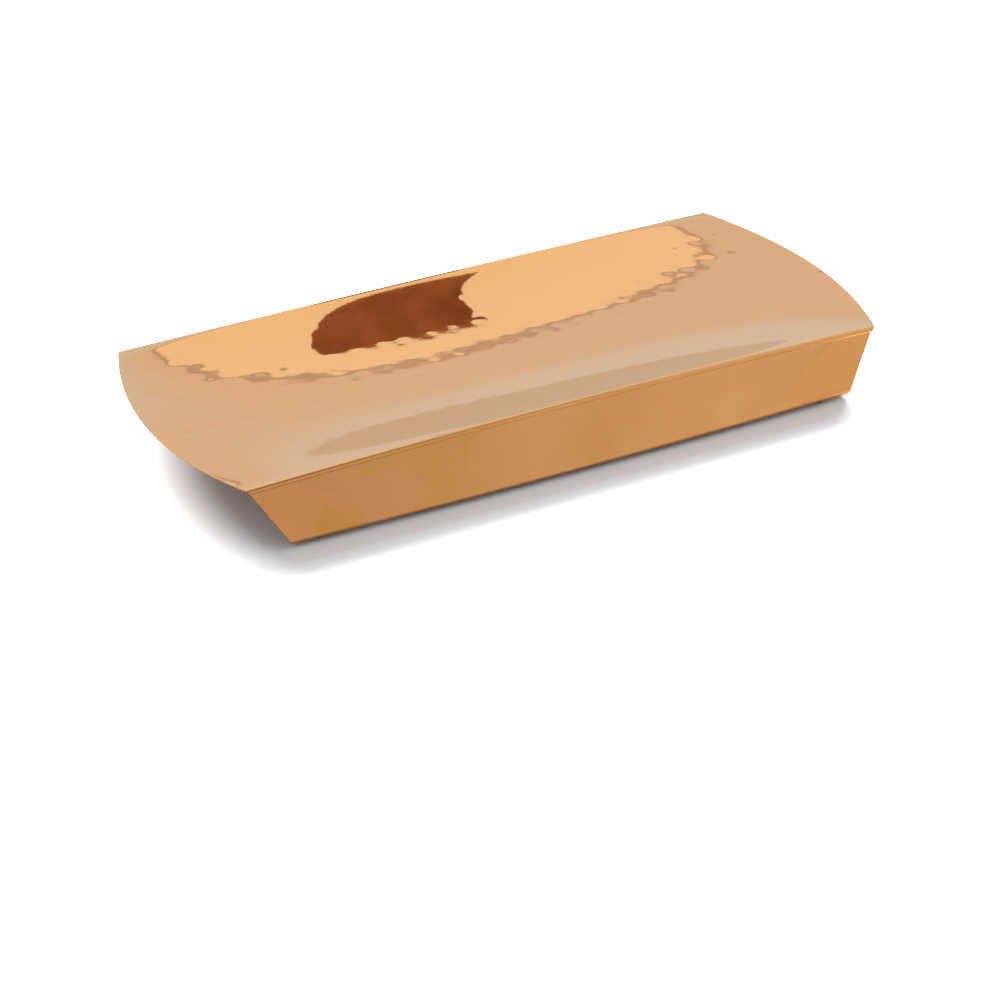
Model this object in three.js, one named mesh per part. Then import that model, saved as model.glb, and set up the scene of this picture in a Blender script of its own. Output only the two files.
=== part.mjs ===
// A low serving tray of polished copper sheet: a long plate with bowed ends and a shallow beaten
// hollow, raised off the table by a splayed side sheet under each long edge. The plate's long edges
// are turned down as a lip over the side sheets, whose top flanges are soldered under the plate and
// whose bottom flanges stand on small rubber feet.
//
// Millimetres, +Z up. The origin is on the table under the middle of the tray, +X runs along its
// length and -Y is the front. The tray mirrors across both vertical planes through the origin.

import * as THREE from 'three';
import { mergeVertices } from 'three/addons/utils/BufferGeometryUtils.js';

// Plate, as its top face
const CORNER_LENGTH = 500; // corner to corner along each long edge
const CORNER_WIDTH = 253.5; // corner to corner across each end
const END_BOW = 24; // how far the middle of each end stands out past its corners
const WAIST = 2.5; // how far the middle of each long edge pulls in
const CROWN = 2.4; // how far the middle of each long edge rises above its corners
const END_SAG = 2.4; // how far the middle of each end hangs below its corners
const END_SAG_POWER = 2.7;
const DISH = 5; // how much deeper the hollow is in the middle of the plate
const DISH_POWER = 2.5; // above 2 the hollow holds its depth further towards the ends

// Sheet and folds
const SHEET = 1.2;
const FOLD_RADIUS = 1.6; // outside radius of the plate's long folds
const LIP_DROP = 4; // the turned-down lip, measured down from the fold
const LIP_FEATHER = 0.6; // thickness left at the lip's filed lower edge
const LIP_FEATHER_LENGTH = 1.2;
const GAP = 0.3; // clearance left between neighbouring pieces

// Side sheets
const APRON_DROP = 46; // from the plate's corners down to the bottom edge
const APRON_END_INSET = 26.5; // how far each end is cut back at the bottom edge
const APRON_LEAN = 8.4; // how far the bottom edge stands out past the corners
const APRON_BELLY = 4.4; // further lean of the bottom edge at mid-length
const APRON_TOP_RADIUS = 2.6;
const APRON_BOTTOM_RADIUS = 2.4;
const TOP_FLANGE = 13; // reach of the top flange in under the plate
const BOTTOM_FLANGE = 15;
const APRON_END_TRIM = 0.4; // each side sheet stops short of the plate's end by this much

// Solder beads along the inner edges of the top flanges
const BEAD_WIDTH = 3.5;
const BEAD_EDGE = 0.25;
const BEAD_REACH = 0.965; // share of the long edge that the bead runs along

// Feet
const FOOT_HEIGHT = 3;
const FOOT_RADIUS = 4;
const FOOT_CHAMFER = 0.6;
const FOOT_REACH = 0.9; // share of the half length at which the feet stand
const FOOT_SETBACK = 10; // from the bottom edge in to the middle of a foot
const FOOT_SEGMENTS = 24;

// Mesh steps
const STATIONS = 24; // along the length
const DISH_STEPS = 20; // across the plate
const FOLD_STEPS = 6;

const HALF_LENGTH = CORNER_LENGTH / 2;
const HALF_WIDTH = CORNER_WIDTH / 2;
const BOTTOM_EDGE_Z = FOOT_HEIGHT;
const CORNER_Z = BOTTOM_EDGE_Z + APRON_DROP;

const materials = {
  plate: new THREE.MeshStandardMaterial({ color: 0xd99a66, roughness: 0.12, metalness: 1 }),
  apron: new THREE.MeshStandardMaterial({ color: 0xc98b58, roughness: 0.15, metalness: 1 }),
  solder: new THREE.MeshStandardMaterial({ color: 0xb4b2ac, roughness: 0.45, metalness: 1 }),
  rubber: new THREE.MeshStandardMaterial({ color: 0x1c1c1c, roughness: 0.8, metalness: 0 }),
};

// 1 in the middle, 0 at both ends of the range -1..1
const bulge = (t, power = 2) => 1 - Math.abs(t) ** power;

// How far out and how high the long edge runs at station u, from -1 at one end to 1 at the other
const longEdge = (u) => new THREE.Vector2(
  HALF_WIDTH - WAIST * bulge(u),
  CORNER_Z + CROWN * bulge(u),
);

const bottomEdge = (u) => new THREE.Vector2(
  HALF_WIDTH + APRON_LEAN + APRON_BELLY * bulge(u),
  BOTTOM_EDGE_Z,
);

// Height of the plate's top face, where v runs from -1 at the front edge to 1 at the rear edge
function plateHeight(u, v) {
  const sag = END_SAG * bulge(v, END_SAG_POWER);
  const dish = DISH * bulge(u, DISH_POWER) * bulge(v);
  return CORNER_Z + CROWN * bulge(u) - sag - dish;
}

// The top face at a distance in from the long edge, lowered by depth, as a point of the section
function plateSection(u, inFromEdge, depth = 0) {
  const edge = longEdge(u);
  const y = edge.x - inFromEdge;
  return new THREE.Vector2(y, plateHeight(u, y / edge.x) - depth);
}

// x of a plate point: the ends bow out past the corners
function plateX(u, y) {
  const v = Math.min(1, Math.abs(y) / longEdge(u).x);
  return u * (HALF_LENGTH + END_BOW * bulge(v));
}

// x of a side sheet point: the ends are cut back from the corners to the bottom edge
function apronX(u, z, trim) {
  const top = longEdge(u).y;
  const share = Math.max(0, (top - z) / (top - BOTTOM_EDGE_Z));
  return u * (HALF_LENGTH - trim - APRON_END_INSET * share);
}

// Points around a fold of the outer face, each with its outward normal. The section turns
// clockwise from direction a-b to direction b-c about the sharp corner b.
function fold(a, b, c, radius) {
  const into = b.clone().sub(a).normalize();
  const out = c.clone().sub(b).normalize();
  const turn = Math.acos(into.dot(out));
  const tangent = radius * Math.tan(turn / 2);
  const firstNormal = new THREE.Vector2(-into.y, into.x);
  const start = b.clone().addScaledVector(into, -tangent);
  const centre = start.clone().addScaledVector(firstNormal, -radius);
  return Array.from({ length: FOLD_STEPS + 1 }, (_, step) => {
    const normal = firstNormal.clone().rotateAround(new THREE.Vector2(), -turn * step / FOLD_STEPS);
    return { point: centre.clone().addScaledVector(normal, radius), normal };
  });
}

// The point where the line a-b meets the line c-d
function crossing(a, b, c, d) {
  const along = b.clone().sub(a);
  const other = d.clone().sub(c);
  const share = c.clone().sub(a).cross(other) / along.cross(other);
  return a.clone().addScaledVector(along, share);
}

// A closed solid between two grids of points, which are the two faces of a sheet
function sheetSolid(outerFace, innerFace) {
  const rows = outerFace.length;
  const columns = outerFace[0].length;
  const lastRow = rows - 1;
  const lastColumn = columns - 1;
  const outer = (row, column) => row * columns + column;
  const inner = (row, column) => rows * columns + outer(row, column);
  const index = [];
  const quad = (a, b, c, d) => index.push(a, b, c, a, c, d);
  for (let row = 0; row < lastRow; row++) {
    for (let column = 0; column < lastColumn; column++) {
      quad(outer(row, column), outer(row + 1, column),
        outer(row + 1, column + 1), outer(row, column + 1));
      quad(inner(row, column), inner(row, column + 1),
        inner(row + 1, column + 1), inner(row + 1, column));
    }
    quad(outer(row + 1, 0), outer(row, 0), inner(row, 0), inner(row + 1, 0));
    quad(outer(row, lastColumn), outer(row + 1, lastColumn),
      inner(row + 1, lastColumn), inner(row, lastColumn));
  }
  for (let column = 0; column < lastColumn; column++) {
    quad(outer(0, column), outer(0, column + 1), inner(0, column + 1), inner(0, column));
    quad(outer(lastRow, column + 1), outer(lastRow, column),
      inner(lastRow, column), inner(lastRow, column + 1));
  }
  const geometry = new THREE.BufferGeometry();
  geometry.setFromPoints([...outerFace.flat(), ...innerFace.flat()]);
  geometry.setIndex(index);
  return geometry;
}

// The same solid on the other long side of the tray
function mirrored(geometry) {
  const copy = geometry.clone().scale(1, -1, 1);
  copy.setIndex(Array.from(geometry.index.array).reverse());
  return copy;
}

// Sweeps a section along the tray. sectionAt(u) lists its points, each with its outward normal and
// the sheet's thickness there, and xAt(u, y, z) places a point along the length.
function sweptSheet(sectionAt, xAt, reach = 1) {
  const outerFace = [];
  const innerFace = [];
  for (let station = 0; station <= STATIONS; station++) {
    const u = reach * (2 * station / STATIONS - 1);
    const section = sectionAt(u);
    const place = (p, x) => new THREE.Vector3(x, p.x, p.y);
    const xs = section.map(({ point }) => xAt(u, point.x, point.y));
    outerFace.push(section.map(({ point }, i) => place(point, xs[i])));
    innerFace.push(section.map(({ point, normal, thickness = SHEET }, i) => (
      place(point.clone().addScaledVector(normal, -thickness), xs[i]))));
  }
  return sheetSolid(outerFace, innerFace);
}

// One end of the plate's section: from the dish, round the fold and down the lip at the rear edge
function lipSection(u) {
  const edge = longEdge(u);
  const foot = bottomEdge(u);
  const down = foot.clone().sub(edge).normalize();
  const outward = new THREE.Vector2(-down.y, down.x);
  const lastDish = plateSection(u, edge.x * 2 / DISH_STEPS);
  const featherStart = edge.clone().addScaledVector(down, LIP_DROP - LIP_FEATHER_LENGTH);
  const lipEnd = edge.clone().addScaledVector(down, LIP_DROP);
  const filed = lipEnd.clone().addScaledVector(outward, LIP_FEATHER - SHEET);
  return [
    ...fold(lastDish, edge, foot, FOLD_RADIUS),
    { point: featherStart, normal: outward },
    { point: filed, normal: outward, thickness: LIP_FEATHER },
  ];
}

function plateSectionPoints(u) {
  const rear = lipSection(u);
  const flip = ({ point, normal, ...rest }) => ({
    point: new THREE.Vector2(-point.x, point.y),
    normal: new THREE.Vector2(-normal.x, normal.y),
    ...rest,
  });
  const up = new THREE.Vector2(0, 1);
  const dish = [];
  for (let step = 1; step < DISH_STEPS; step++) {
    const v = 2 * step / DISH_STEPS - 1;
    dish.push({ point: new THREE.Vector2(v * longEdge(u).x, plateHeight(u, v)), normal: up });
  }
  return [...rear.map(flip).reverse(), ...dish, ...rear];
}

function plateGeometry() {
  const xAt = (u, y, z) => {
    const beyondDish = Math.abs(y) > longEdge(u).x * (1 - 1 / DISH_STEPS);
    const cutBack = beyondDish ? u * HALF_LENGTH - apronX(u, z, 0) : 0;
    return plateX(u, y) - cutBack;
  };
  return sweptSheet(plateSectionPoints, xAt);
}

// The rear side sheet: top flange under the plate, web, bottom flange
function apronSectionPoints(u) {
  const under = SHEET + GAP;
  const flangeEnd = plateSection(u, TOP_FLANGE, under);
  const flangeStart = plateSection(u, SHEET, under);
  const webTop = longEdge(u).sub(new THREE.Vector2(under, 0));
  const foot = bottomEdge(u);
  const topCorner = crossing(flangeEnd, flangeStart, webTop, foot);
  const bottomEnd = foot.clone().sub(new THREE.Vector2(BOTTOM_FLANGE, 0));
  const topNormal = flangeStart.clone().sub(flangeEnd).normalize();
  return [
    { point: flangeEnd, normal: new THREE.Vector2(-topNormal.y, topNormal.x) },
    ...fold(flangeEnd, topCorner, foot, APRON_TOP_RADIUS),
    ...fold(topCorner, foot, bottomEnd, APRON_BOTTOM_RADIUS),
    { point: bottomEnd, normal: new THREE.Vector2(0, -1) },
  ];
}

function apronGeometry() {
  return sweptSheet(apronSectionPoints, (u, y, z) => apronX(u, z, APRON_END_TRIM));
}

// A solder bead: as thick as the flange beside it, thinning to nothing under the plate
function beadSectionPoints(u) {
  const under = SHEET + GAP;
  const up = new THREE.Vector2(0, 1);
  const nearFlange = TOP_FLANGE + GAP;
  return [
    { point: plateSection(u, nearFlange + BEAD_WIDTH, under), normal: up, thickness: BEAD_EDGE },
    { point: plateSection(u, nearFlange, under), normal: up, thickness: SHEET },
  ];
}

function beadGeometry() {
  return sweptSheet(beadSectionPoints, (u) => u * HALF_LENGTH, BEAD_REACH);
}

function footGeometry() {
  const top = FOOT_HEIGHT - GAP;
  const profile = [
    new THREE.Vector2(0, 0),
    new THREE.Vector2(FOOT_RADIUS - FOOT_CHAMFER, 0),
    new THREE.Vector2(FOOT_RADIUS, FOOT_CHAMFER),
    new THREE.Vector2(FOOT_RADIUS, top),
    new THREE.Vector2(0, top),
  ];
  const foot = new THREE.LatheGeometry(profile, FOOT_SEGMENTS);
  foot.rotateX(Math.PI / 2);
  foot.deleteAttribute('normal');
  foot.deleteAttribute('uv');
  return mergeVertices(foot, 1e-4);
}

const tray = new THREE.Group();

function addPiece(name, geometry, material) {
  geometry.computeVertexNormals();
  const piece = new THREE.Mesh(geometry, material);
  piece.name = name;
  tray.add(piece);
  return piece;
}

addPiece('top_plate', plateGeometry(), materials.plate);
addPiece('rear_apron', apronGeometry(), materials.apron);
addPiece('front_apron', mirrored(apronGeometry()), materials.apron);
addPiece('rear_solder_bead', beadGeometry(), materials.solder);
addPiece('front_solder_bead', mirrored(beadGeometry()), materials.solder);

for (const [row, side] of [['front', -1], ['rear', 1]]) {
  for (const [end, direction] of [['left', -1], ['right', 1]]) {
    const foot = addPiece(`${row}_${end}_foot`, footGeometry(), materials.rubber);
    const x = apronX(FOOT_REACH, BOTTOM_EDGE_Z, APRON_END_TRIM);
    const y = bottomEdge(FOOT_REACH).x - FOOT_SETBACK;
    foot.position.set(direction * x, side * y, 0);
  }
}

export default tray;
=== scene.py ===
"""Looks of a low serving tray of polished, lightly hammered copper.

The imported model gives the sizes. Each piece is built here again as a fine mesh: the plate with its
hollow, hammer dents and turned-down lips, the two splayed side sheets, the solder beads under the
plate and the rubber feet. Metres, +Z up, +X along the tray, -Y to the front.
"""

import math

import bpy
import numpy as np
from mathutils import Matrix, Vector


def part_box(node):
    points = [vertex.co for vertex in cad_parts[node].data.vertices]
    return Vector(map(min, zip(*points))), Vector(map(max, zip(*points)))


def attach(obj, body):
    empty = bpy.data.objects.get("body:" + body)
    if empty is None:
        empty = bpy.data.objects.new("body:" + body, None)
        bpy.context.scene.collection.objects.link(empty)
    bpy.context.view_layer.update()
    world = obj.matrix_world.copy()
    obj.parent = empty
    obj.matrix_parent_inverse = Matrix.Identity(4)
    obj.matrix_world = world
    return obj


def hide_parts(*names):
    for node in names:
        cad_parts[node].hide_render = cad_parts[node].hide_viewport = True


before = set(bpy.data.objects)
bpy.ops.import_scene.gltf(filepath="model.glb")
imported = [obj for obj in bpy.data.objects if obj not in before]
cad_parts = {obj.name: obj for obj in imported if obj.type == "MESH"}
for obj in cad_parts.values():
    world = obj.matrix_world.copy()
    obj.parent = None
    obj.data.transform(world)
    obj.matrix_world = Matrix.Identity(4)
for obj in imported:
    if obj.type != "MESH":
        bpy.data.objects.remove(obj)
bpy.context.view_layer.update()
MM = 0.001

# ------------------------------------------------------------------ the tray's shape, in metres

plate_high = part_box("top_plate")[1]
apron_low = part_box("front_apron")[0]

SHEET = 1.2 * MM
CLEARANCE = 0.05 * MM  # between finished pieces that solder or glue joins
END_BOW = 24 * MM
HALF_LENGTH = plate_high.x - END_BOW
HALF_WIDTH = 126.75 * MM
WAIST = 2.5 * MM
CROWN = 2.4 * MM
END_SAG = 2.4 * MM
END_SAG_POWER = 2.7
DISH = 5 * MM
DISH_POWER = 2.5
SHOULDER = 0.8 * MM  # width over which the long edges are dressed before they are folded
SHOULDER_SPREAD = 13 * MM  # more width at the corners
REAR_SHOULDER_TILT = 0.1
FRONT_SHOULDER_TILT = -0.03  # the other way, and at the corners only
BOTTOM_Z = apron_low.z
APRON_DROP = 46 * MM  # from the plate's corners down to the bottom edge
CORNER_Z = BOTTOM_Z + APRON_DROP

FOLD_RADIUS = 1.6 * MM
FOLD_START = 1.9 * MM  # from the sharp long edge in to where the dish ends and the fold begins
LIP_DROP = 4 * MM
LIP_FEATHER = 0.6 * MM  # thickness left at the lip's filed lower edge
LIP_FEATHER_LENGTH = 1.2 * MM
RIM_RADIUS = 0.35 * MM  # rounding of the cut ends of the sheets

APRON_SET_IN = 1.5 * MM  # of the side sheet's face from the sharp fold line
APRON_END_INSET = 26.5 * MM
APRON_LEAN = 8.4 * MM
APRON_BELLY = 4.4 * MM
APRON_TOP_RADIUS = 2.6 * MM
APRON_BOTTOM_RADIUS = 2.4 * MM
TOP_FLANGE = 13 * MM
BOTTOM_FLANGE = 15 * MM
APRON_END_TRIM = 0.4 * MM

BEAD_WIDTH = 3.5 * MM
BEAD_REACH = 0.965

# mesh steps
PLATE_STATIONS = 400
DISH_STEPS = 240
DISH_STEP_POWER = 1.4  # makes the steps finer towards the long edges
FOLD_STEPS = 8
FLANGE_STEPS = 4
WEB_STEPS = 30
APRON_STATIONS = 300
BEAD_STATIONS = 220
FOOT_SEGMENTS = 48


def bulge(t, power=2):
    """1 in the middle of the range -1..1 and 0 at both its ends."""
    return 1 - np.abs(t) ** power


def point(y, z):
    """Points of a section, one row of y and z for each station."""
    return np.stack(np.broadcast_arrays(y, z), -1)


def long_edge(u):
    return point(HALF_WIDTH - WAIST * bulge(u), CORNER_Z + CROWN * bulge(u))


def bottom_edge(u):
    return point(HALF_WIDTH + APRON_LEAN + APRON_BELLY * bulge(u), BOTTOM_Z)


def plate_height(u, v):
    """Height of the plate's top face; v runs from -1 at the front edge to 1 at the rear edge."""
    sag = END_SAG * bulge(v, END_SAG_POWER)
    return CORNER_Z + CROWN * bulge(u) - sag - DISH * bulge(u, DISH_POWER) * bulge(v)


def plate_section(u, in_from_edge, depth=0.0):
    """The plate's top face at a distance in from the long edge, lowered by depth."""
    half = long_edge(u)[..., 0]
    y = half - in_from_edge
    return point(y, plate_height(u, y / half) - depth)


def plate_x(u, y):
    """x of a plate point: the ends bow out past the corners."""
    v = np.minimum(1, np.abs(y) / long_edge(u)[..., 0])
    return u * (HALF_LENGTH + END_BOW * bulge(v))


def apron_x(u, z, trim=0.0):
    """x of a side sheet point: the ends are cut back from the corners to the bottom edge."""
    top = long_edge(u)[..., 1]
    share = np.maximum(0, (top - z) / (top - BOTTOM_Z))
    return u * (HALF_LENGTH - trim - APRON_END_INSET * share)


# ------------------------------------------------------------------ sheet building

def unit(vectors):
    return vectors / np.linalg.norm(vectors, axis=-1, keepdims=True)


def left_of(direction):
    return np.stack([-direction[..., 1], direction[..., 0]], -1)


def fold(a, b, c, radius, steps=FOLD_STEPS):
    """Points and outward normals round a clockwise fold of radius about the sharp corner b."""
    into, out = unit(b - a), unit(c - b)
    turn = np.arccos((into * out).sum(-1))
    first = left_of(into)
    centre = b - into * (radius * np.tan(turn / 2))[:, None] - first * radius
    angle = -turn[:, None] * np.linspace(0, 1, steps + 1)
    cos, sin = np.cos(angle), np.sin(angle)
    normals = np.stack([
        first[:, None, 0] * cos - first[:, None, 1] * sin,
        first[:, None, 0] * sin + first[:, None, 1] * cos,
    ], -1)
    return centre[:, None] + radius * normals, normals


def stretch(a, b, steps):
    """Points evenly between a and b, without either, with the normal on the left."""
    share = np.linspace(0, 1, steps + 2)[1:-1, None]
    points = a[:, None] + (b - a)[:, None] * share
    normals = np.broadcast_to(left_of(unit(b - a))[:, None], points.shape)
    return points, normals


def end_stations(count, reach, half_length):
    """Stations along the tray and how far the cut ends are rounded over at each."""
    radius_share = RIM_RADIUS / half_length
    inner = np.linspace(-1, 1, count) * (1 - 2 * radius_share)
    inset = np.array([0, 0.12, 0.4, 1])
    left = -1 + inset * radius_share
    rounding = RIM_RADIUS * (1 - np.sqrt(1 - (1 - inset) ** 2))
    u = np.concatenate([left, inner, -left[::-1]]) * reach
    drop = np.concatenate([rounding, np.zeros(count), rounding[::-1]])
    return u, drop


def sheet_object(name, outer, inner, materials, columns, flip=False):
    """A closed sheet between two grids of points. The outer face takes the material given for each
    of its columns, the inner face and the cut edges the last one."""
    rows, width = outer.shape[:2]
    index = np.arange(rows * width).reshape(rows, width)
    inside = index + rows * width

    def strip(a, b):
        return np.stack([a[:-1], a[1:], b[1:], b[:-1]], -1).reshape(-1, 4)

    top = np.stack([index[:-1, :-1], index[1:, :-1], index[1:, 1:], index[:-1, 1:]], -1)
    under = np.stack([inside[:-1, :-1], inside[:-1, 1:], inside[1:, 1:], inside[1:, :-1]], -1)
    faces = np.concatenate([
        top.reshape(-1, 4),
        under.reshape(-1, 4),
        strip(index[0], inside[0]),
        strip(inside[-1], index[-1]),
        strip(inside[:, 0], index[:, 0]),
        strip(index[:, -1], inside[:, -1]),
    ])
    if flip:
        faces = faces[:, ::-1]
    points = np.concatenate([outer.reshape(-1, 3), inner.reshape(-1, 3)])
    mesh = bpy.data.meshes.new(name)
    mesh.from_pydata(points.tolist(), [], faces.tolist())
    slots = np.full(len(faces), len(materials) - 1, np.int32)
    slots[: (rows - 1) * (width - 1)] = np.tile(columns, rows - 1)
    for material in materials:
        mesh.materials.append(material)
    mesh.polygons.foreach_set("material_index", slots)
    mesh.polygons.foreach_set("use_smooth", np.ones(len(faces), bool))
    mesh.update()
    obj = bpy.data.objects.new(name, mesh)
    bpy.context.scene.collection.objects.link(obj)
    return obj


def swept_sheet(name, sections, x_at, stations, materials, thickness=None, relief=None,
                columns=0, flip=False):
    """Sweeps section points and normals along the tray into a sheet. relief(x, p) is a depth that
    shapes both faces; columns picks the material of each column of the outer face."""
    u, drop = stations
    points = np.concatenate([p for p, _ in sections], 1)
    normals = np.concatenate([n for _, n in sections], 1)
    if thickness is None:
        thickness = np.full(points.shape[1], SHEET)
    x = np.broadcast_to(x_at(u[:, None], points[..., 0], points[..., 1]), points.shape[:2])
    if relief is not None:
        points = points - normals * relief(x, points)[..., None]
    drop = np.minimum(drop[:, None], 0.45 * thickness)[..., None]
    outer = points - normals * drop
    inner = points - normals * (thickness[None, :, None] - drop)
    grids = [np.concatenate([x[..., None], face], -1) for face in (outer, inner)]
    if flip:
        for grid in grids:
            grid[..., 1] *= -1
    columns = np.broadcast_to(columns, points.shape[1] - 1)
    return sheet_object(name, *grids, materials, columns, flip)


# ------------------------------------------------------------------ hammering

rng = np.random.default_rng(11)

DENT_SPACING = 20 * MM
DENT_ROW_SPACING = 17.5 * MM
DENT_ROW_START = 12.5 * MM  # of the middle row, behind the tray's centre line
DENT_RADIUS = 4.2 * MM
DENT_DEPTH = 0.032 * MM
DENT_EDGE = 3.5  # radii out to which a dent is worked out
ROW_FORCES = (0.4, 0.35, 0.4, 1.1, 0.6, 0.5, 0.4, 1.5, 0.4, 1.3)  # from the front row to the rear
ROWS_IN_FRONT = 5  # of the middle row
APRON_ROWS = (-10 * MM, 2 * MM)  # heights above the middle of the side sheets
APRON_ROW_FORCES = (1, 1.5)


def hammer_blows(half_x, rows, depths):
    """Places and depths of the hammer blows, in rows along the sheet."""
    blows = []
    for row, depth in zip(rows, depths):
        start = -half_x + DENT_SPACING * rng.uniform(0, 1)
        for x in np.arange(start, half_x, DENT_SPACING):
            place = (x + rng.normal(0, 1.6 * MM), row + rng.normal(0, 0.8 * MM))
            blows.append((*place, depth * rng.uniform(0.6, 1.2)))
    return blows


def dents(x, y, blows):
    """Depth at x, y of the small round marks of the hammer blows."""
    total = np.zeros_like(x)
    for cx, cy, depth in blows:
        size = DENT_RADIUS * rng.uniform(0.85, 1.15)
        near = (np.abs(x - cx) < DENT_EDGE * size) & (np.abs(y - cy) < DENT_EDGE * size)
        distance = ((x[near] - cx) ** 2 + (y[near] - cy) ** 2) / (2 * size**2)
        total[near] += depth * np.exp(-distance)
    return total


def ripple(x, y, wavelength, depth, waves=24):
    """A soft random unevenness left by planishing."""
    total = np.zeros_like(x)
    for _ in range(waves):
        angle = rng.uniform(0, 2 * math.pi)
        length = wavelength * rng.uniform(0.7, 1.5)
        phase = rng.uniform(0, 2 * math.pi)
        total += np.sin((x * math.cos(angle) + y * math.sin(angle)) * 2 * math.pi / length + phase)
    return depth * total / math.sqrt(waves)


# ------------------------------------------------------------------ materials

def shader(name):
    material = bpy.data.materials.new(name)
    material.use_nodes = True
    nodes, links = material.node_tree.nodes, material.node_tree.links
    return material, nodes, links, nodes["Principled BSDF"]


def noise(nodes, links, scale, detail=3.0, roughness=0.5, stretch_by=None):
    """A noise texture over the object's own coordinates, in features per metre."""
    where = nodes.new("ShaderNodeTexCoord").outputs["Object"]
    if stretch_by is not None:
        mapping = nodes.new("ShaderNodeMapping")
        mapping.inputs["Scale"].default_value = stretch_by
        links.new(where, mapping.inputs["Vector"])
        where = mapping.outputs["Vector"]
    texture = nodes.new("ShaderNodeTexNoise")
    texture.inputs["Scale"].default_value = scale
    texture.inputs["Detail"].default_value = detail
    texture.inputs["Roughness"].default_value = roughness
    links.new(where, texture.inputs["Vector"])
    return texture.outputs["Fac"]


def spread(nodes, links, source, low, high, from_low=0.35, from_high=0.65):
    """Maps a noise to the range low..high."""
    ranged = nodes.new("ShaderNodeMapRange")
    ranged.inputs["From Min"].default_value = from_low
    ranged.inputs["From Max"].default_value = from_high
    ranged.inputs["To Min"].default_value = low
    ranged.inputs["To Max"].default_value = high
    links.new(source, ranged.inputs["Value"])
    return ranged.outputs["Result"]


def math_node(nodes, links, operation, first, second):
    """second is a number or an output."""
    node = nodes.new("ShaderNodeMath")
    node.operation = operation
    links.new(first, node.inputs[0])
    if isinstance(second, bpy.types.NodeSocket):
        links.new(second, node.inputs[1])
    else:
        node.inputs[1].default_value = second
    return node.outputs["Value"]


def blend_colours(nodes, links, factor, first, second):
    """first and second are colours or colour outputs."""
    mix = nodes.new("ShaderNodeMix")
    mix.data_type = "RGBA"
    links.new(factor, mix.inputs["Factor"])
    for socket, colour in (("A", first), ("B", second)):
        target = [s for s in mix.inputs if s.name == socket and s.type == "RGBA"][0]
        if isinstance(colour, bpy.types.NodeSocket):
            links.new(colour, target)
        else:
            target.default_value = (*colour, 1)
    return [s for s in mix.outputs if s.type == "RGBA"][0]


def copper(name, colour, tarnish, tarnish_amount, roughness, grain=1.0, left_shade_and_stain_colours=None):
    """Copper with broad tarnish clouds, faint wiping marks and a slight grain. Towards the tray's
    left end its two colours may turn into patches of two darker colours: painted shade, with the
    patches standing for stains."""
    material, nodes, links, principled = shader(name)
    principled.inputs["Metallic"].default_value = 1
    clouds = noise(nodes, links, 14, 4, 0.55)
    factor = spread(nodes, links, clouds, 0, tarnish_amount)
    base = blend_colours(nodes, links, factor, colour, tarnish)
    # painted shade: towards the tray's left end the copper turns darker, in patches that stand for
    # stains
    if left_shade_and_stain_colours:
        patches = spread(nodes, links, noise(nodes, links, 11, 5, 0.55), 0, 1, 0.47, 0.49)
        left = blend_colours(nodes, links, patches, *left_shade_and_stain_colours)
        place = nodes.new("ShaderNodeSeparateXYZ")
        links.new(nodes.new("ShaderNodeTexCoord").outputs["Object"], place.inputs["Vector"])
        share = spread(nodes, links, place.outputs["X"], 1, 0, -0.2, 0.12)
        base = blend_colours(nodes, links, share, base, left)
    links.new(base, principled.inputs["Base Color"])
    wiping = noise(nodes, links, 60, 5, 0.6, (1, 3, 3))
    links.new(
        spread(nodes, links, wiping, roughness * 0.85, roughness * 1.2),
        principled.inputs["Roughness"],
    )
    bump = nodes.new("ShaderNodeBump")
    bump.inputs["Strength"].default_value = 0.25
    bump.inputs["Distance"].default_value = 0.02 * MM * grain
    links.new(noise(nodes, links, 170, 2, 0.5), bump.inputs["Height"])
    links.new(bump.outputs["Normal"], principled.inputs["Normal"])
    return material


def solder_material():
    material, nodes, links, principled = shader("tin_solder")
    principled.inputs["Metallic"].default_value = 1
    grain = noise(nodes, links, 400, 4, 0.6)
    colour = blend_colours(nodes, links, spread(nodes, links, grain, 0, 1),
                           (0.42, 0.41, 0.38), (0.66, 0.65, 0.61))
    links.new(colour, principled.inputs["Base Color"])
    links.new(spread(nodes, links, grain, 0.32, 0.5), principled.inputs["Roughness"])
    return material


def rubber_material():
    material, nodes, links, principled = shader("foot_rubber")
    grain = noise(nodes, links, 900, 3, 0.6)
    colour = blend_colours(nodes, links, spread(nodes, links, grain, 0, 1),
                           (0.014, 0.014, 0.015), (0.03, 0.03, 0.031))
    links.new(colour, principled.inputs["Base Color"])
    links.new(spread(nodes, links, grain, 0.6, 0.8), principled.inputs["Roughness"])
    bump = nodes.new("ShaderNodeBump")
    bump.inputs["Strength"].default_value = 0.5
    bump.inputs["Distance"].default_value = 0.05 * MM
    links.new(grain, bump.inputs["Height"])
    links.new(bump.outputs["Normal"], principled.inputs["Normal"])
    return material


plate_face = copper("plate_copper", (0.73, 0.40, 0.172), (0.71, 0.38, 0.16), 0.5, 0.025)
# the side sheets' copper turns darker towards the tray's left end: painted shade standing in for a
# darker reflection there, with olive stain patches in it
apron_face = copper("apron_copper", (0.68, 0.335, 0.115), (0.64, 0.29, 0.095), 1.0, 0.07,
                    left_shade_and_stain_colours=((0.54, 0.24, 0.087), (0.51, 0.24, 0.062)))
# the copper of the fold's lower bend turns nearly brown towards the left end: a painted shaded line
# in the crease
crease_shade_painted_face = copper("crease_copper_painted_shade", (0.72, 0.36, 0.13), (0.66, 0.33, 0.12), 1.0, 0.1,
                     left_shade_and_stain_colours=((0.29, 0.115, 0.04), (0.33, 0.135, 0.045)))
unpolished = copper("unpolished_copper", (0.56, 0.28, 0.13), (0.38, 0.17, 0.08), 1.0, 0.3, 3)
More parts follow.
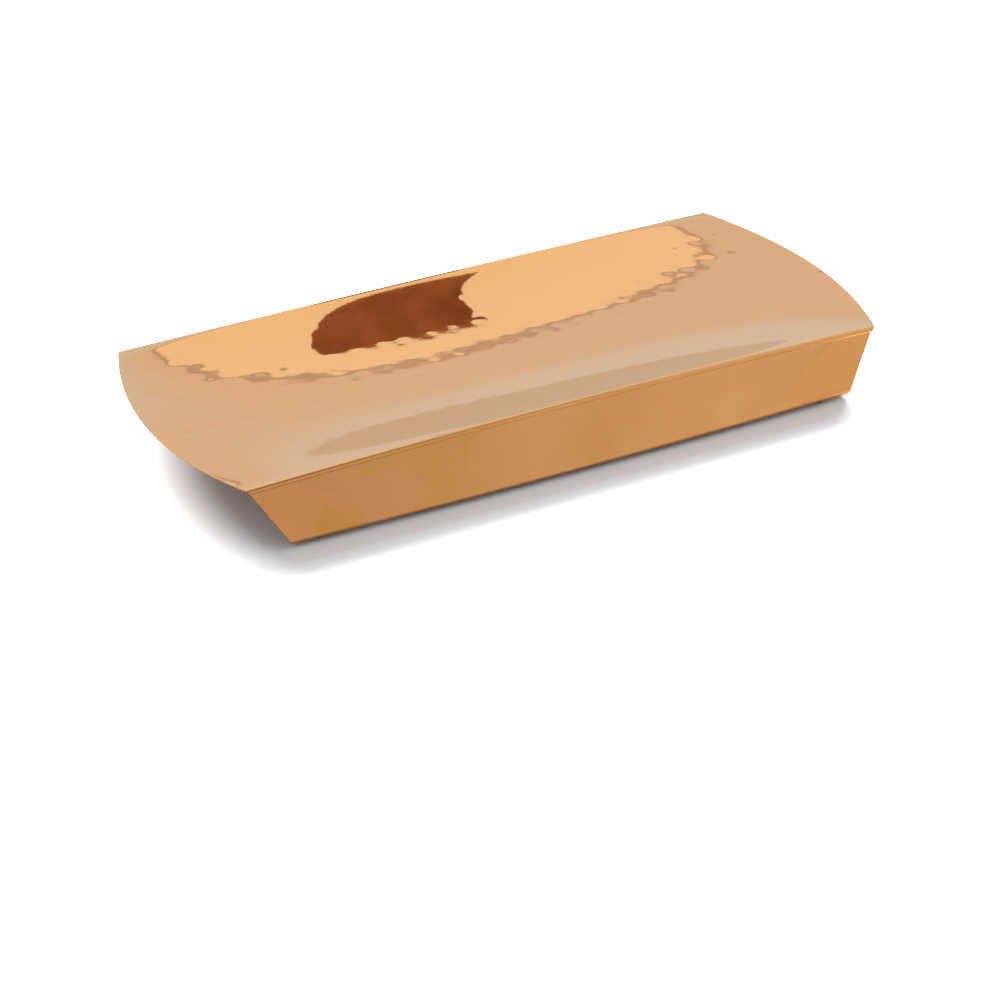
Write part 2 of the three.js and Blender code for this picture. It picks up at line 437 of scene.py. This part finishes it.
# the side sheets' inner faces and cut ends are painted dark: painted shade, under the plate and
# where the ends mirror the shadowed floor
shade_painted_copper = copper("side_sheet_copper_painted_shade", (0.36, 0.15, 0.06), (0.26, 0.11, 0.05), 1.0, 0.3, 3)


# ------------------------------------------------------------------ the plate

def lip_sections(u):
    """The rear edge of the plate's section: round the fold and down to the lip's filed edge."""
    edge, foot = long_edge(u), bottom_edge(u)
    down = unit(foot - edge)
    outward = left_of(down)
    folded = fold(plate_section(u, FOLD_START), edge, foot, FOLD_RADIUS)
    depths = (LIP_DROP - LIP_FEATHER_LENGTH, LIP_DROP - 0.2 * MM, LIP_DROP)
    shaved = (0, SHEET - LIP_FEATHER - 0.08 * MM, SHEET - LIP_FEATHER + 0.1 * MM)
    lip = np.stack([edge + down * d - outward * s for d, s in zip(depths, shaved)], 1)
    normals = np.broadcast_to(outward[:, None], lip.shape)
    return [folded, (lip, normals)]


def other_side(sections):
    """The same section points on the front side of the tray, in reverse order."""
    mirror = np.array([-1, 1])
    return [(p[:, ::-1] * mirror, n[:, ::-1] * mirror) for p, n in reversed(sections)]


def plate_sections(u):
    rear = lip_sections(u)
    half = long_edge(u)[:, 0]
    share = np.linspace(-1, 1, DISH_STEPS + 1)
    share = np.sign(share) * (1 - (1 - np.abs(share)) ** DISH_STEP_POWER)
    v = share * (1 - FOLD_START / half)[:, None]
    u = u[:, None]
    height = plate_height(u, v) + shoulder(u, v, REAR_SHOULDER_TILT)
    height += shoulder(u, -v, FRONT_SHOULDER_TILT * np.abs(u) ** 3)
    dish = point(v * half[:, None], height)
    up = np.broadcast_to([0.0, 1.0], dish.shape)
    return [*other_side(rear), (dish, up), *rear]


def shoulder(u, v, tilt):
    """A slight rise of the plate towards the edge at v = 1 that eases off again before the fold."""
    width = SHOULDER + SHOULDER_SPREAD * np.abs(u) ** 3
    from_fold = long_edge(u)[..., 0] * (1 - v) - FOLD_START
    share = np.clip(1 - from_fold / width, 0, 1)
    return tilt * width * ((1 + v) / 2 - share**3) / 3


def make_plate():
    stations = end_stations(PLATE_STATIONS, 1, HALF_LENGTH + END_BOW)
    u = stations[0]
    sections = plate_sections(u)
    count = sum(p.shape[1] for p, _ in sections)
    thickness = np.full(count, SHEET)
    thickness[[1, -2]] = LIP_FEATHER + 0.08 * MM
    thickness[[0, -1]] = LIP_FEATHER - 0.2 * MM

    def x_at(u, y, z):
        beyond = np.abs(y) > long_edge(u)[..., 0] - 0.999 * FOLD_START
        return plate_x(u, y) - np.where(beyond, u * HALF_LENGTH - apron_x(u, z), 0)

    rows = DENT_ROW_START + DENT_ROW_SPACING * (np.arange(len(ROW_FORCES)) - ROWS_IN_FRONT)
    blows = hammer_blows(HALF_LENGTH + END_BOW, rows, DENT_DEPTH * np.array(ROW_FORCES))

    def relief(x, p):
        y = p[..., 0]
        calm = np.clip((0.97 - np.abs(y) / HALF_WIDTH) / 0.05, 0, 1)  # towards the long edges
        return calm * (dents(x, y, blows) + ripple(x, y, 45 * MM, 0.001 * MM))

    columns = np.zeros(count - 1, int)
    lip, crease = 3, 3  # columns of faces
    # the fold's lower faces take the copper with the painted shaded crease line, the lips the side
    # sheets' copper with its painted shade towards the left
    columns[:lip + crease] = columns[-lip - crease:] = 2
    columns[:lip] = columns[-lip:] = 1
    return swept_sheet("plate", sections, x_at, stations,
                       [plate_face, apron_face, crease_shade_painted_face, unpolished], thickness, relief, columns)


plate = make_plate()
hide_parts("top_plate")
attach(plate, "root")


# ------------------------------------------------------------------ the side sheets

def crossing(a, b, c, d):
    """Where the lines a-b and c-d meet, at every station."""
    along, other = b - a, d - c

    def cross(p, q):
        return p[:, 0] * q[:, 1] - p[:, 1] * q[:, 0]

    return a + along * (cross(c - a, other) / cross(along, other))[:, None]


def apron_sections(u):
    under = SHEET + CLEARANCE
    flange_end = plate_section(u, TOP_FLANGE, under)
    flange_start = plate_section(u, SHEET, under)
    web_top = long_edge(u) - [APRON_SET_IN, 0]
    foot = bottom_edge(u)
    corner = crossing(flange_end, flange_start, web_top, foot)
    bottom_end = foot - [BOTTOM_FLANGE, 0]
    top_fold = fold(flange_end, corner, foot, APRON_TOP_RADIUS)
    bottom_fold = fold(corner, foot, bottom_end, APRON_BOTTOM_RADIUS)
    flange_normal = left_of(unit(flange_start - flange_end))[:, None]
    bottom_normal = np.broadcast_to([0.0, -1.0], flange_normal.shape)
    return [
        (flange_end[:, None], flange_normal),
        stretch(flange_end, top_fold[0][:, 0], FLANGE_STEPS),
        top_fold,
        stretch(top_fold[0][:, -1], bottom_fold[0][:, 0], WEB_STEPS),
        bottom_fold,
        stretch(bottom_fold[0][:, -1], bottom_end, FLANGE_STEPS),
        (bottom_end[:, None], bottom_normal),
    ]


def make_apron(name, node, front):
    stations = end_stations(APRON_STATIONS, 1, HALF_LENGTH)
    sections = apron_sections(stations[0])
    middle = (CORNER_Z + BOTTOM_Z) / 2
    blows = hammer_blows(HALF_LENGTH, APRON_ROWS, DENT_DEPTH * np.array(APRON_ROW_FORCES))

    def relief(x, p):
        height = p[..., 1] - middle
        calm = np.clip((19 * MM - np.abs(height)) / (5 * MM), 0, 1)  # towards the folds
        return calm * (dents(x, height, blows) + ripple(x, height, 50 * MM, 0.006 * MM))

    # the inner face and cut edges take the copper painted dark as shade
    apron = swept_sheet(name, sections, lambda u, y, z: apron_x(u, z, APRON_END_TRIM), stations,
                        [apron_face, shade_painted_copper], relief=relief, flip=front)
    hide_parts(node)
    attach(apron, "root")


make_apron("front_side_sheet", "front_apron", True)
make_apron("rear_side_sheet", "rear_apron", False)


# ------------------------------------------------------------------ solder and feet

def make_bead(name, node, front):
    """A wiped bead of solder between the flange's inner edge and the plate, hollow across and with
    a slightly uneven edge."""
    stations = end_stations(BEAD_STATIONS, BEAD_REACH, HALF_LENGTH)
    u = stations[0]
    near = TOP_FLANGE + CLEARANCE
    share = np.linspace(1, 0, 7)  # of the bead's width, out from the flange
    top = [plate_section(u, near + BEAD_WIDTH * s, SHEET + CLEARANCE) for s in share]
    points = np.stack(top, 1)
    normals = np.broadcast_to([0.0, 1.0], points.shape)
    fillet = SHEET * (0.12 + 0.88 * (1 - np.sqrt(1 - (1 - share) ** 2)))
    points[:, 0, 0] += 0.5 * MM * ripple(u * HALF_LENGTH, u * 0, 9 * MM, 0.12, 12)
    bead = swept_sheet(name, [(points, normals)], lambda u, y, z: u * HALF_LENGTH, stations,
                       [solder], thickness=fillet, flip=front)
    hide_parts(node)
    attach(bead, "root")


solder = solder_material()
make_bead("front_solder", "front_solder_bead", True)
make_bead("rear_solder", "rear_solder_bead", False)


def make_foot(node):
    """A turned rubber bumper with a rounded foot and a slight waist."""
    low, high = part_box(node)
    centre = (low + high) / 2
    radius = (high.x - low.x) / 2
    top = BOTTOM_Z - CLEARANCE - low.z
    edge = 0.7 * MM
    rings = [(0.55 * radius, 0)]
    rings += [(radius - edge + edge * math.sin(a), edge - edge * math.cos(a))
              for a in np.linspace(0, math.pi / 2, 6)]
    rings += [(radius * 0.985, top * 0.6), (radius * 0.985, top - 0.2 * MM), (radius * 0.94, top)]
    points = [(0, 0, 0)]
    for r, z in rings:
        for k in range(FOOT_SEGMENTS):
            a = 2 * math.pi * k / FOOT_SEGMENTS
            points.append((r * math.cos(a), r * math.sin(a), z))
    points.append((0, 0, top))
    starts = [1 + ring * FOOT_SEGMENTS for ring in range(len(rings))]
    last = len(points) - 1
    faces = []
    for k in range(FOOT_SEGMENTS):
        after = (k + 1) % FOOT_SEGMENTS
        faces.append((0, 1 + after, 1 + k))
        for a, b in zip(starts, starts[1:]):
            faces.append((a + k, a + after, b + after, b + k))
        faces.append((starts[-1] + k, starts[-1] + after, last))
    mesh = bpy.data.meshes.new(node + "_bumper")
    mesh.from_pydata([Vector(p) + Vector((centre.x, centre.y, low.z)) for p in points], [], faces)
    mesh.materials.append(rubber)
    mesh.polygons.foreach_set("use_smooth", [True] * len(faces))
    foot = bpy.data.objects.new(node + "_bumper", mesh)
    bpy.context.scene.collection.objects.link(foot)
    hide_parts(node)
    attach(foot, "root")


rubber = rubber_material()
for node in ("front_left_foot", "front_right_foot", "rear_left_foot", "rear_right_foot"):
    make_foot(node)


# ------------------------------------------------------------------ floor, light and camera

scene = bpy.context.scene
scene.view_settings.view_transform = "Standard"

world = bpy.data.worlds.new("studio")
scene.world = world
world.use_nodes = True
background = world.node_tree.nodes["Background"]
background.inputs["Color"].default_value = (0.93, 0.96, 1.0, 1)
background.inputs["Strength"].default_value = 1.0


def flat(name, corners, material, faces=None):
    mesh = bpy.data.meshes.new(name)
    mesh.from_pydata([Vector(c) for c in corners], [], faces or [range(len(corners))])
    mesh.materials.append(material)
    obj = bpy.data.objects.new(name, mesh)
    scene.collection.objects.link(obj)
    return obj


def floor_material():
    material, nodes, links, principled = shader("pale_floor")
    grain = noise(nodes, links, 3, 2, 0.5)
    colour = blend_colours(nodes, links, spread(nodes, links, grain, 0, 1),
                           (0.69, 0.69, 0.69), (0.71, 0.71, 0.71))
    links.new(colour, principled.inputs["Base Color"])
    principled.inputs["Roughness"].default_value = 0.12
    principled.inputs["Specular IOR Level"].default_value = 0.5
    return material


def rectangle(left, right, front, rear, z):
    return [(left, front, z), (right, front, z), (right, rear, z), (left, rear, z)]


FLOOR_REACH = 12
floor_corners = rectangle(-FLOOR_REACH, FLOOR_REACH, -FLOOR_REACH, FLOOR_REACH, 0)
flat("floor", floor_corners, floor_material())


def card(name, corners, colour, low_colour=None, second_colour=None, faces=None):
    """A lit or dark card round the tray that shows only as a reflection in the copper. It may
    shade to low_colour below a bowed line or be clouded with second_colour."""
    material = bpy.data.materials.new(name)
    material.use_nodes = True
    nodes, links = material.node_tree.nodes, material.node_tree.links
    nodes.remove(nodes["Principled BSDF"])
    emission = nodes.new("ShaderNodeEmission")
    emission.inputs["Color"].default_value = (*colour, 1)
    emission.inputs["Strength"].default_value = 1
    if low_colour:
        place = nodes.new("ShaderNodeSeparateXYZ")
        links.new(nodes.new("ShaderNodeTexCoord").outputs["Object"], place.inputs["Vector"])
        aside = math_node(nodes, links, "SUBTRACT", place.outputs["X"], LINE_MIDDLE)
        squared = math_node(nodes, links, "POWER", aside, 2)
        bow = math_node(nodes, links, "MULTIPLY", squared, LINE_BOW)
        above = math_node(nodes, links, "SUBTRACT", place.outputs["Z"], bow)
        share = spread(nodes, links, above, 1, 0, *LINE_HEIGHTS)
        links.new(blend_colours(nodes, links, share, colour, low_colour), emission.inputs["Color"])
    if second_colour:
        clouds = spread(nodes, links, noise(nodes, links, 16, 4, 0.6), 0, 1)
        clouded = blend_colours(nodes, links, clouds, colour, second_colour)
        links.new(clouded, emission.inputs["Color"])
    links.new(emission.outputs["Emission"], nodes["Material Output"].inputs["Surface"])
    obj = flat(name, corners, material, faces)
    obj.visible_camera = False
    obj.visible_diffuse = False
    obj.visible_shadow = False
    return obj


CARD_Y = 0.70  # the upright cards stand here, behind the tray
CARD_LEFT, CARD_RIGHT = -0.6, 1.1
CARD_TOP = 1.9
SOFTBOX_EDGE = 0.415  # height of the softbox's lower edge at its middle
SOFTBOX_BOW = 0.24
SOFTBOX_MIDDLE = 0.265
RIM_HEIGHT = 0.0042
GROUND_REACH = 3
GROUND_Z = 0.5 * MM
LINE_MIDDLE = 0.38  # the bowed line below which the wall turns cooler
LINE_BOW = 0.28
LINE_HEIGHTS = (0.350, 0.376)


def softbox_edge(drop=0.0):
    """The softbox's lower edge, bowed up towards its ends, lowered by drop."""
    return [(x, CARD_Y, SOFTBOX_EDGE + SOFTBOX_BOW * (x - SOFTBOX_MIDDLE) ** 2 - drop)
            for x in np.linspace(CARD_LEFT, CARD_RIGHT, 60)]


def upright(points, y):
    return [(x, y, z) for x, z in points]


card("softbox", softbox_edge() + upright([(CARD_RIGHT, CARD_TOP), (CARD_LEFT, CARD_TOP)], CARD_Y),
     (1.19, 1.17, 1.05))
card("softbox_rim", softbox_edge() + softbox_edge(RIM_HEIGHT)[::-1], (0.66, 0.58, 0.64))
card("wall", softbox_edge(RIM_HEIGHT) + upright([(CARD_RIGHT, 0), (CARD_LEFT, 0)], CARD_Y),
     (0.95, 0.96, 1.02), low_colour=(0.91, 1.05, 1.29))

ground = rectangle(-0.3, 0.3, -0.155, 0.131, GROUND_Z)  # its opening under the tray
ground += rectangle(-GROUND_REACH, GROUND_REACH, -GROUND_REACH, GROUND_REACH, GROUND_Z)
card("ground_card", ground, (1.0, 1.0, 1.0), second_colour=(0.93, 0.92, 0.90),
     faces=[(k, (k + 1) % 4, 4 + (k + 1) % 4, 4 + k) for k in range(4)])


def curve(start, pull, second_pull, end, steps=24):
    """Points of a cubic curve from start to end, without its end."""
    points = np.array([start, pull, second_pull, end])
    t = np.linspace(0, 1, steps, endpoint=False)[:, None]
    weights = np.hstack([(1 - t) ** 3, 3 * (1 - t) ** 2 * t, 3 * (1 - t) * t**2, t**3])
    return (weights @ points).tolist()


# outlines on the upright cards, as x and z
counter_left, counter_right = (0.087, 0.367), (0.66, 0.335)
counter = curve(counter_left, (0.25, 0.325), (0.48, 0.30), counter_right)
counter += curve(counter_right, (0.54, 0.225), (0.30, 0.214), counter_left)
card("counter", upright(counter, CARD_Y - 0.002), (0.785, 0.84, 0.90))

flag_low_left, flag_low_right = (0.158, 0.436), (0.332, 0.436)
flag_left, flag_tip = (0.143, 0.450), (0.362, 0.528)
flag = [flag_low_left]
flag += curve(flag_low_right, (0.318, 0.470), (0.312, 0.510), flag_tip)
flag += curve(flag_tip, (0.260, 0.548), (0.165, 0.550), flag_left) + [flag_left]
card("dark_flag", upright(flag, CARD_Y - 0.004), (0.27, 0.105, 0.055),
     second_colour=(0.40, 0.17, 0.09))


def area_light(name, location, target, size_x, size_y, power, colour=(1, 1, 1)):
    light = bpy.data.lights.new(name, "AREA")
    light.shape = "RECTANGLE"
    light.size, light.size_y = size_x, size_y
    light.energy = power
    light.color = colour
    obj = bpy.data.objects.new(name, light)
    scene.collection.objects.link(obj)
    obj.location = location
    obj.rotation_euler = (Vector(target) - Vector(location)).to_track_quat("-Z", "Y").to_euler()
    obj.visible_glossy = False
    return obj


area_light("rear_key", (0.40, 1.48, 1.29), (0, 0, 0), 3.36, 0.7, 415, (1, 1, 0.99))

CAMERA_DISTANCE = 2.1446
CAMERA_AZIMUTH = -25.28
CAMERA_ELEVATION = 28.47
CAMERA_ROLL = -2.57
LENS = 104.36
AIM_RIGHT = 0.0035
AIM_UP = -0.1194


def make_camera():
    azimuth, elevation, roll = map(math.radians, (CAMERA_AZIMUTH, CAMERA_ELEVATION, CAMERA_ROLL))
    back = Vector((math.sin(azimuth) * math.cos(elevation),
                   -math.cos(azimuth) * math.cos(elevation), math.sin(elevation)))
    level_right = (-back).cross(Vector((0, 0, 1))).normalized()
    level_up = level_right.cross(-back)
    right = level_right * math.cos(roll) + level_up * math.sin(roll)
    up = level_up * math.cos(roll) - level_right * math.sin(roll)
    aim = Vector((0, 0, CORNER_Z)) + right * AIM_RIGHT + up * AIM_UP
    camera = bpy.data.objects.new("camera", bpy.data.cameras.new("camera"))
    scene.collection.objects.link(camera)
    camera.data.lens = LENS
    turn = Matrix((right, up, back)).transposed()
    camera.matrix_world = Matrix.Translation(aim + back * CAMERA_DISTANCE) @ turn.to_4x4()
    scene.camera = camera


make_camera()
